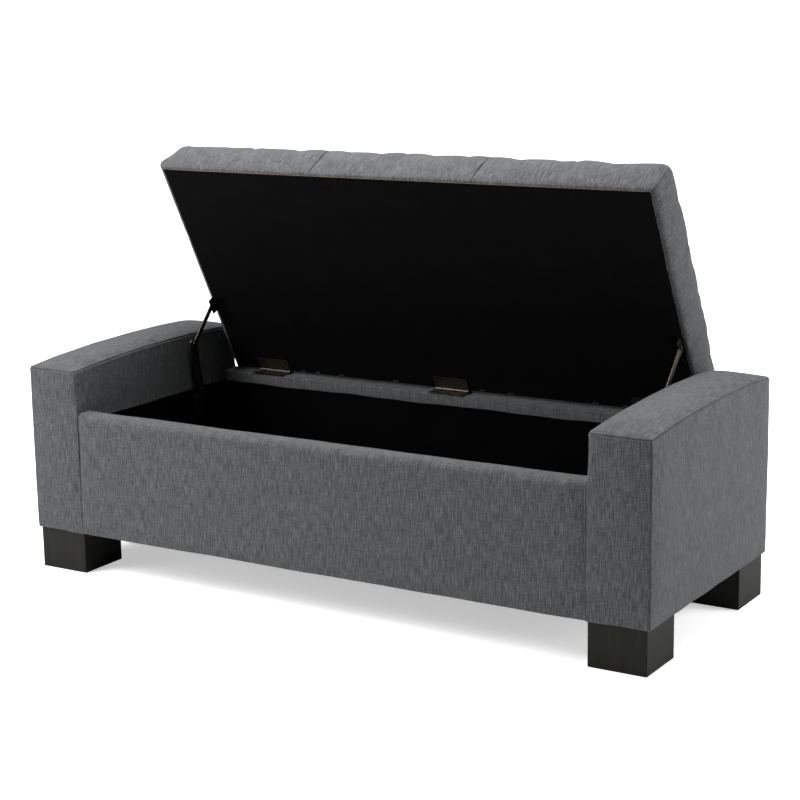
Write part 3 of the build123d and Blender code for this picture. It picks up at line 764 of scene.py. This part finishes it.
def pad_form(flat):
    """The tufted pad, drawn closed: bulging borders, soft corners and swelling squares."""
    height = flat[:, 2] - HINGE_Z
    share = smoothstep(height, PAD_LOW, 56)
    radius = PAD_TIGHT + (PAD_ROUND - PAD_TIGHT) * share
    low = (-PAD_HALF, HINGE_Y - PAD_FRONT, HINGE_Z + PAD_LOW)
    high = (PAD_HALF, HINGE_Y - PAD_BACK, HINGE_Z + PAD_HIGH)
    points = rounded(flat, low, high, np.stack([radius] * 3, axis=1))
    x = points[:, 0]
    reach = HINGE_Y - points[:, 1]
    gap_x, gap_reach, gap_button = valley_gaps(x, reach)
    dip_x = np.exp(-(gap_x / LINE_WIDTH) ** 1.3)
    dip_reach = np.exp(-(gap_reach / LINE_WIDTH) ** 1.3)
    # Borders: a bulge between underside and top, tighter where a tufting line runs out
    bulge = np.clip((height - PAD_LOW) / 8, 0, 1) ** 0.6 * (1 - 0.35 * smoothstep(height, 44, PAD_HIGH))
    ends = smoothstep(np.abs(flat[:, 0]), PAD_HALF - BORDER_BAND, PAD_HALF)
    points[:, 0] += np.sign(x) * bulge * ends * (END_BULGE - END_DIP * dip_reach)
    front = smoothstep(HINGE_Y - flat[:, 1], PAD_FRONT - BORDER_BAND, PAD_FRONT)
    points[:, 1] -= bulge * front * (FRONT_BULGE - FRONT_DIP * dip_x)
    rear = smoothstep(flat[:, 1], HINGE_Y - PAD_BACK - BORDER_BAND, HINGE_Y - PAD_BACK)
    hang = np.minimum(HANG_SLOPE * height + HANG_FOOT, HANG_MOST)
    hang = hang * (1 - smoothstep(height, 30, PAD_HIGH))
    points[:, 1] += hang * rear * (1 - 0.05 * dip_x)
    # Top: squares swell, tufting lines sink, buttons sink furthest
    top = smoothstep(height, 40, PAD_HIGH)
    valley = 1 - (1 - dip_x) * (1 - dip_reach)
    inward = np.minimum.reduce([PAD_HALF - np.abs(x), PAD_FRONT - reach, reach - PAD_BACK])
    inside = smoothstep(inward, -8, 32)
    swell = SQUARE_SWELL * inside
    sink = (LINE_SINK + LINE_SINK_MORE * inside) * valley
    button = BUTTON_SINK * np.exp(-(gap_button / BUTTON_DIP_WIDTH) ** 2)
    # One crown falls off only towards the four corners, another from the middle to front and rear
    along = (HINGE_Y - flat[:, 1] - PAD_MIDDLE) / (PAD_FRONT - PAD_MIDDLE)
    outward = np.abs(flat[:, 0] / PAD_HALF) * np.abs(along)
    crown = CORNER_CROWN * (1 - outward ** 5) + REACH_CROWN * np.clip(1 - along ** 2, 0, 1)
    points[:, 2] += top * (swell + crown - sink - button)
    return points


def pad_hold(shell):
    x, y, z = shell.flat.T
    reach = HINGE_Y - y
    gap_x, gap_reach, gap_button = valley_gaps(x, reach)
    on_top = shell.on(2, -1)
    held = np.zeros(len(x))
    held[on_top & (np.minimum(gap_x, gap_reach) < 4.5)] = 0.6
    held[on_top & (gap_button < 15)] = 1
    held[z < HINGE_Z + PAD_LOW + 5] = 1
    return held


def pad_finish(shell, points):
    normals = normals_of(points, shell.quads)
    x, y, z = shell.flat.T
    reach = HINGE_Y - y
    height = z - HINGE_Z
    border = shell.on(1, 0) | shell.on(1, -1)
    seam = np.min([np.abs(x - s) for s in BORDER_SEAMS], axis=0)
    push = np.where(border, groove(seam, height, depth=1.4, width=1.1, lip=0.5), 0)
    corner = np.hypot(PAD_HALF - np.abs(x), PAD_FRONT - reach)
    push += groove(corner, height, depth=1.1, width=1.2, lip=0.4) * (1 - smoothstep(height, 70, 78))
    gap_x, gap_reach, gap_button = valley_gaps(points[:, 0], HINGE_Y - points[:, 1])
    on_top = smoothstep(height, 60, PAD_HIGH)
    crease = np.minimum(gap_x, gap_reach)
    push -= CREASE_DEPTH * np.exp(-(crease / CREASE_WIDTH) ** 2) * on_top
    # Short folds that run out from each button
    nearest = np.argmin([np.abs(points[:, 0] - v) for v in VALLEYS_X], axis=0)
    nearest_reach = np.argmin([np.abs(HINGE_Y - points[:, 1] - v) for v in VALLEYS_REACH], axis=0)
    centre_x = np.array(VALLEYS_X)[nearest]
    centre_reach = np.array(VALLEYS_REACH)[nearest_reach]
    turn = np.arctan2(HINGE_Y - points[:, 1] - centre_reach, points[:, 0] - centre_x)
    fold = np.sin(turn * FOLDS + nearest * 1.7 + nearest_reach)
    fold = fold * np.exp(-((gap_button - FOLD_PLACE) / FOLD_WIDTH) ** 2)
    push += FOLD_HEIGHT * fold * on_top
    push += ripple(points, 0.5, 80.0, 23) * smoothstep(height, PAD_LOW, 20)
    points = points + normals * push[:, None]
    points[:, 2] = np.maximum(points[:, 2], HINGE_Z + PAD_LOW - 0.6)
    # The sides stop short of the arms that they close between
    over = np.clip(np.abs(points[:, 0]) - PAD_HALF, 0, None)
    eased = PAD_SIDE_ROOM * np.tanh(over / PAD_SIDE_ROOM)
    points[:, 0] -= np.sign(points[:, 0]) * (over - eased)
    return points


# ------------------------------------------------------------------ padded pieces

def dress(piece, body, slot_name, *stands_for, fill=None):
    """Ties a piece to its body and hides the CAD nodes that it stands for; its material slot is not used.
    """
    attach(piece, body)
    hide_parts(*stands_for)
    return piece


def swollen(fine, coarse, form, move, rounds):
    """The fine net's own form, moved as the simulation moved the coarse net."""
    return form(fine.flat) + smoothed(fine.borrow(coarse, move), fine.quads, rounds)


def padded_pieces():
    """The arms, rails and lid's pad, swollen by the simulation. The left arm mirrors the right."""
    arm_coarse, rail_coarse, pad_coarse = arm_shell(False), rail_shell(False), pad_shell(False)
    front_points = rail_form(rail_coarse.flat, *FRONT_RAIL_TOP)
    back_points = rail_form(rail_coarse.flat, *BACK_RAIL_TOP)
    arm_points = arm_form(arm_coarse.flat)
    pad_points = pad_form(pad_coarse.flat)
    # A point moves no further than its cap, in millimetres
    jobs = [
        {"shell": arm_coarse, "points": arm_points, "hold": arm_hold(arm_coarse), "cap": 3.5},
        {"shell": rail_coarse, "points": front_points, "hold": rail_hold(rail_coarse), "cap": 3.0},
        {"shell": rail_coarse, "points": back_points, "hold": rail_hold(rail_coarse), "cap": 2.0},
        {"shell": pad_coarse, "points": pad_points, "hold": pad_hold(pad_coarse), "cap": 7.0,
         "shrink": -0.012},
    ]
    arm_move, front_move, back_move, pad_move = inflate(jobs)
    arm_fine, rail_fine, pad_fine = arm_shell(True), rail_shell(True), pad_shell(True)

    arm = arm_finish(arm_fine, swollen(arm_fine, arm_coarse, arm_form, arm_move, 6))
    for name, side in (("left", -1), ("right", 1)):
        points = arm * (side, 1, 1)
        quads = arm_fine.quads if side > 0 else arm_fine.quads[:, ::-1]
        cover = make_mesh(f"arm_pad_{name}", points, quads, UPHOLSTERY)
        dress(cover, "root", "upholstery", f"arm_cover_{name}", f"arm_foam_{name}", fill=0.9)
    for name, end, move, top, seed in (
        ("front", 1, front_move, FRONT_RAIL_TOP, 11), ("back", -1, back_move, BACK_RAIL_TOP, 12),
    ):
        form = lambda flat, top=top: rail_form(flat, *top)
        points = rail_finish(rail_fine, swollen(rail_fine, rail_coarse, form, move, 6), seed)
        if end < 0:
            points = seat_hinges(rail_fine, points)
        points = points * (1, end, 1)
        quads = rail_fine.quads if end > 0 else rail_fine.quads[:, ::-1]
        cover = make_mesh(f"rail_pad_{name}", points, quads, UPHOLSTERY)
        dress(cover, "root", "upholstery", f"{name}_cover", f"{name}_rail_foam", fill=0.9)
    points = swollen(pad_fine, pad_coarse, pad_form, pad_move, 3)
    pad = make_mesh("lid_pad", pad_finish(pad_fine, points), pad_fine.quads, UPHOLSTERY, LID_MATRIX)
    dress(pad, "lid", "upholstery", "lid_cover", "lid_foam", fill=0.8)
    return pad


pad = padded_pieces()


# ------------------------------------------------------------------ buttons

# A button's outline as rings of radius and rise, from its crown to its tucked underside
BUTTON_RINGS = (
    (0.0, 4.6), (2.2, 4.55), (4.6, 4.25), (7.0, 3.6), (9.0, 2.5), (10.3, 1.2),
    (10.8, 0.0), (10.4, -1.2), (9.0, -2.0), (0.0, -2.0),
)
BUTTON_SIDES = 28
BUTTON_TILT = 0.05
BUTTON_WOBBLE = 0.012
BUTTON_SEED = 100
# How far round its middle a button rests on the pad, and how far it sits above that
SEAT_RADIUS = 9
SEAT_RISE = 1.2


def make_buttons(pad):
    """Covered buttons, each pulled into its tuft: a domed cap with a tucked rim."""
    points = []
    quads = []
    for number, (x, reach, seat) in enumerate(pad_seats(pad)):
        start = len(points)
        random = np.random.default_rng(BUTTON_SEED + number)
        tilt_x, tilt_y = random.uniform(-BUTTON_TILT, BUTTON_TILT, 2)
        for radius, rise in BUTTON_RINGS:
            for k in range(BUTTON_SIDES):
                turn = 2 * math.pi * k / BUTTON_SIDES
                wobble = 1 + BUTTON_WOBBLE * math.sin(3 * turn + number)
                dx = radius * wobble * math.cos(turn)
                dy = radius * wobble * math.sin(turn)
                high = HINGE_Z + seat + rise + tilt_x * dx + tilt_y * dy
                points.append((x + dx, HINGE_Y - reach + dy, high))
        for ring in range(len(BUTTON_RINGS) - 1):
            for k in range(BUTTON_SIDES):
                a = start + ring * BUTTON_SIDES + k
                b = start + ring * BUTTON_SIDES + (k + 1) % BUTTON_SIDES
                quads.append((a, a + BUTTON_SIDES, b + BUTTON_SIDES, b))
    buttons = make_mesh("lid_buttons", np.array(points), np.array(quads), UPHOLSTERY, LID_MATRIX)
    weld(buttons)
    dress(buttons, "lid", "upholstery", "tuft_buttons", fill=0.3)


def pad_seats(pad):
    """Where the pad's surface lies at each button, as (x, reach, height)."""
    co = np.array([v.co for v in pad.data.vertices]) / MM
    seats = []
    for x in VALLEYS_X:
        for reach in VALLEYS_REACH:
            near = np.hypot(co[:, 0] - x, HINGE_Y - co[:, 1] - reach) < SEAT_RADIUS
            top = co[near & (co[:, 2] > HINGE_Z + 30), 2]
            seats.append((x, reach, float(top.mean()) - HINGE_Z + SEAT_RISE))
    return seats


def weld(piece):
    """Joins points that share one place, as at the middle of a button."""
    welder = piece.modifiers.new("weld", "WELD")
    welder.merge_threshold = 1e-5


make_buttons(pad)


# ------------------------------------------------------------------ cloth sheets

LID_CLOTH_MARGIN = 3.0
LID_CLOTH_HEIGHT = 3.05
DUST_CLOTH_MARGIN = 12
DUST_CLOTH_HEIGHT = 0.25
LINER_BASE = 96.4
LINER_CORNER = 6.0
LINER_HEM_DROP = 1.6


def sheet_grid(us, vs, height):
    """A flat net with a height for each of its points, as (points, quads)."""
    u, v = np.meshgrid(us, vs, indexing="ij")
    points = np.stack([u.ravel(), v.ravel(), height(u, v).ravel()], axis=1)
    index = np.arange(u.size).reshape(u.shape)
    corners = (index[:-1, :-1], index[1:, :-1], index[1:, 1:], index[:-1, 1:])
    return points, np.stack([c.ravel() for c in corners], axis=1)


def thicken(piece, thickness, offset):
    solid = piece.modifiers.new("thickness", "SOLIDIFY")
    solid.thickness = thickness * MM
    solid.offset = offset
    solid.use_even_offset = True


def make_lid_cloth():
    """Black cloth stapled over the lid's underside, very slightly slack."""
    half = LID_HALF - LID_CLOTH_MARGIN
    xs = places(-half, half, 9, (6, 6))
    ys = places(HINGE_Y - LID_REACH + LID_CLOTH_MARGIN, HINGE_Y - 1.0, 9, (6, 6))

    def height(u, v):
        spot = np.stack([u.ravel(), v.ravel(), np.zeros(u.size)], axis=1)
        inward = np.minimum(half - np.abs(u), np.minimum(v - ys[0], ys[-1] - v))
        slack = 0.25 + 0.15 * ripple(spot, 1.0, 150.0, 31).reshape(u.shape)
        return HINGE_Z + LID_CLOTH_HEIGHT + np.clip(slack, 0, 0.6) * smoothstep(inward, 0, 40)

    points, quads = sheet_grid(xs, ys, height)
    cloth = make_mesh("lid_lining", points, quads, DUST_CLOTH, LID_MATRIX)
    thicken(cloth, 0.5, 1.0)
    dress(cloth, "lid", "black_cloth", "lid_underside_cloth")


def make_dust_cloth():
    """Black cloth under the bench, stapled inside the covers' rim and hanging a little."""
    half_x = HALF_X - DUST_CLOTH_MARGIN
    half_y = HALF_Y - DUST_CLOTH_MARGIN
    xs = places(-half_x, half_x, 12, (6, 6))
    ys = places(-half_y, half_y, 12, (6, 6))

    def height(u, v):
        spot = np.stack([u.ravel(), v.ravel(), np.zeros(u.size)], axis=1)
        clear = smoothstep(HALF_X - 125 - np.abs(u), 0, 120) * smoothstep(half_y - np.abs(v), 0, 120)
        wave = 0.4 * ripple(spot, 1.0, 170.0, 41).reshape(u.shape)
        return BODY_BASE + DUST_CLOTH_HEIGHT - clear * np.clip(2.2 + wave, 0.5, 3.2)

    points, quads = sheet_grid(xs, ys, height)
    cloth = make_mesh("dust_cloth", points, quads, DUST_CLOTH)
    thicken(cloth, 0.6, 1.0)
    dress(cloth, "root", "black_cloth", "bottom_dust_cloth")


def make_liner():
    """Black lining of the box: a floor and four walls with a slightly wavy hem."""
    out_x = ARM_INNER - 0.25
    out_y = RAIL_INNER - 0.35
    xs = places(-out_x, out_x, 10, (7, 7))
    ys = places(-out_y, out_y, 10, (7, 7))
    zs = places(LINER_BASE, LINER_TOP, 8, (7, 2))
    shell = Shell(xs, ys, zs)
    radii = np.stack([np.full(len(shell.flat), LINER_CORNER)] * 3, axis=1)
    radii[:, 2] = np.where(shell.flat[:, 2] > LINER_TOP - 8, 1e-3, LINER_CORNER)
    low = (-out_x, -out_y, LINER_BASE)
    points = rounded(shell.flat, low, (out_x, out_y, LINER_TOP + 40), radii)
    x, y, z = shell.flat.T
    up = smoothstep(z, LINER_BASE + 60, LINER_TOP)
    hem = 0.8 * np.sin(x / 47.0) + 0.5 * np.sin(x / 17.0 + 2) + 0.5 * np.sin(y / 24.0 + 1)
    points[:, 2] += up * (hem - LINER_HEM_DROP)
    wall = shell.on(1, 0) | shell.on(1, -1)
    middle = np.sin(math.pi * np.clip((z - LINER_BASE) / (LINER_TOP - LINER_BASE), 0, 1))
    slack = np.clip(1.2 + ripple(points, 1.3, 120.0, 51), 0, 3.5) * middle
    points[wall, 1] -= (np.sign(y) * slack)[wall]
    floor = shell.on(2, 0)
    inward = np.minimum(out_x - np.abs(x), out_y - np.abs(y))
    lift = np.clip(0.6 + ripple(points, 0.7, 160.0, 52), 0, 2) * smoothstep(inward, 5, 60)
    points[floor, 2] += lift[floor]
    # The box is open: its top goes, apart from the rim that the walls share with it
    top = shell.on(2, -1)
    kept = ~top | shell.on(0, 0) | shell.on(0, -1) | wall
    quads = shell.quads[~top[shell.quads].all(axis=1)]
    quads = (np.cumsum(kept) - 1)[quads]
    points = points[kept]
    lining = make_mesh("box_lining", points, quads, LINING)
    thicken(lining, 0.7, -1.0)
    dress(lining, "root", "black_cloth", "storage_liner")


make_lid_cloth()
make_dust_cloth()
make_liner()


# ------------------------------------------------------------------ floor, light, camera

FLOOR_HALF = 12
# The floor's glow for the camera near the bench and far off, and the distances between them
FLOOR_GLOW = 0.5
FLOOR_FAR_GLOW = 1.15
FLOOR_NEAR = 0.9
FLOOR_FAR = 2.6
BACKDROP_GLOW = 1.05
WIDE_LIGHT_ANGLE = 50
# Soft boxes: name, place, aim, size and power
SOFT_LIGHTS = (
    ("key_softbox", (-1.3, -1.2, 1.7), (-0.3, 0, 0.5), (1.2, 1.2), 53),
    ("low_softbox", (-1.6, -1.6, 0.8), (-0.5, -0.2, 0.3), (1.0, 1.0), 12),
    ("top_softbox", (0, -0.1, 1.8), (0, -0.1, 0.4), (1.6, 0.9), 37),
    ("side_softbox", (2.0, 0.7, 0.9), (0.5, 0.1, 0.4), (1.0, 1.0), 35),
)
# Wide lights: name, the side they come from, and power
WIDE_LIGHTS = (
    ("back_light", (0, 0.8, 0.9), 1.25),
    ("front_light", (-0.7, -0.8, 0.9), 0.4),
)
CAMERA_PLACE = (1.8712, -2.9763, 1.1095)
CAMERA_YAW = 31.775
CAMERA_PITCH = 12.235
CAMERA_ROLL = -0.92
CAMERA_LENS = 87.28


def only_for_camera(tree, strength):
    """A strength that counts where the camera looks straight at it, and lights nothing."""
    return calc(tree, "MULTIPLY", node(tree, "LightPath"), strength)


def make_floor():
    mesh = bpy.data.meshes.new("floor")
    corners = [(x * FLOOR_HALF, y * FLOOR_HALF, 0) for x, y in ((-1, -1), (1, -1), (1, 1), (-1, 1))]
    mesh.from_pydata(corners, [], [(0, 1, 2, 3)])
    floor = bpy.data.objects.new("floor", mesh)
    scene.collection.objects.link(floor)
    made, tree, surface = new_material("pale_floor")
    set_values(surface, {
        "Base Color": (0.93, 0.93, 0.93, 1),
        "Roughness": 0.9,
        "Specular IOR Level": 0.1,
        "Emission Color": (1, 1, 1, 1),
    })
    spot = node(tree, "TexCoord", out=3)
    away = node(tree, "VectorMath", {0: spot}, out=1, operation="LENGTH")
    spread = {0: away, 1: FLOOR_NEAR, 2: FLOOR_FAR, 3: FLOOR_GLOW, 4: FLOOR_FAR_GLOW}
    glow = node(tree, "MapRange", spread, interpolation_type="SMOOTHSTEP")
    tree.links.new(only_for_camera(tree, glow), surface.inputs["Emission Strength"])
    mesh.materials.append(made)


def add_lamp(name, light, place, towards):
    lamp = bpy.data.objects.new(name, light)
    scene.collection.objects.link(lamp)
    lamp.location = place
    lamp.rotation_mode = "QUATERNION"
    lamp.rotation_quaternion = Vector(towards).to_track_quat("-Z", "Y")


def soft_light(name, place, aim, size, power):
    light = bpy.data.lights.new(name, "AREA")
    light.shape = "RECTANGLE"
    light.size, light.size_y = size
    light.energy = power
    add_lamp(name, light, place, Vector(aim) - Vector(place))


def wide_light(name, comes_from, power):
    light = bpy.data.lights.new(name, "SUN")
    light.energy = power
    light.angle = math.radians(WIDE_LIGHT_ANGLE)
    add_lamp(name, light, (0, 0, 3), -Vector(comes_from))


def make_backdrop():
    world = bpy.data.worlds.new("studio")
    scene.world = world
    world.use_nodes = True
    backdrop = world.node_tree.nodes["Background"]
    backdrop.inputs[0].default_value = (1, 1, 1, 1)
    world.node_tree.links.new(only_for_camera(world.node_tree, BACKDROP_GLOW), backdrop.inputs[1])


def make_camera():
    yaw, pitch, roll = (math.radians(a) for a in (CAMERA_YAW, CAMERA_PITCH, CAMERA_ROLL))
    ahead = Vector((-math.sin(yaw) * math.cos(pitch), math.cos(yaw) * math.cos(pitch), -math.sin(pitch)))
    level = ahead.cross(Vector((0, 0, 1))).normalized()
    upward = level.cross(ahead)
    right = math.cos(roll) * level + math.sin(roll) * upward
    top = -math.sin(roll) * level + math.cos(roll) * upward
    turned = Matrix((right, top, -ahead)).transposed().to_4x4()
    lens = bpy.data.cameras.new("camera")
    lens.sensor_width = 36
    lens.lens = CAMERA_LENS
    lens.clip_start = 0.1
    lens.clip_end = 60
    camera = bpy.data.objects.new("camera", lens)
    scene.collection.objects.link(camera)
    camera.matrix_world = Matrix.Translation(CAMERA_PLACE) @ turned
    scene.camera = camera


make_floor()
for row in SOFT_LIGHTS:
    soft_light(*row)
for row in WIDE_LIGHTS:
    wide_light(*row)
make_backdrop()
make_camera()

scene.view_settings.view_transform = "Standard"
scene.view_settings.look = "None"
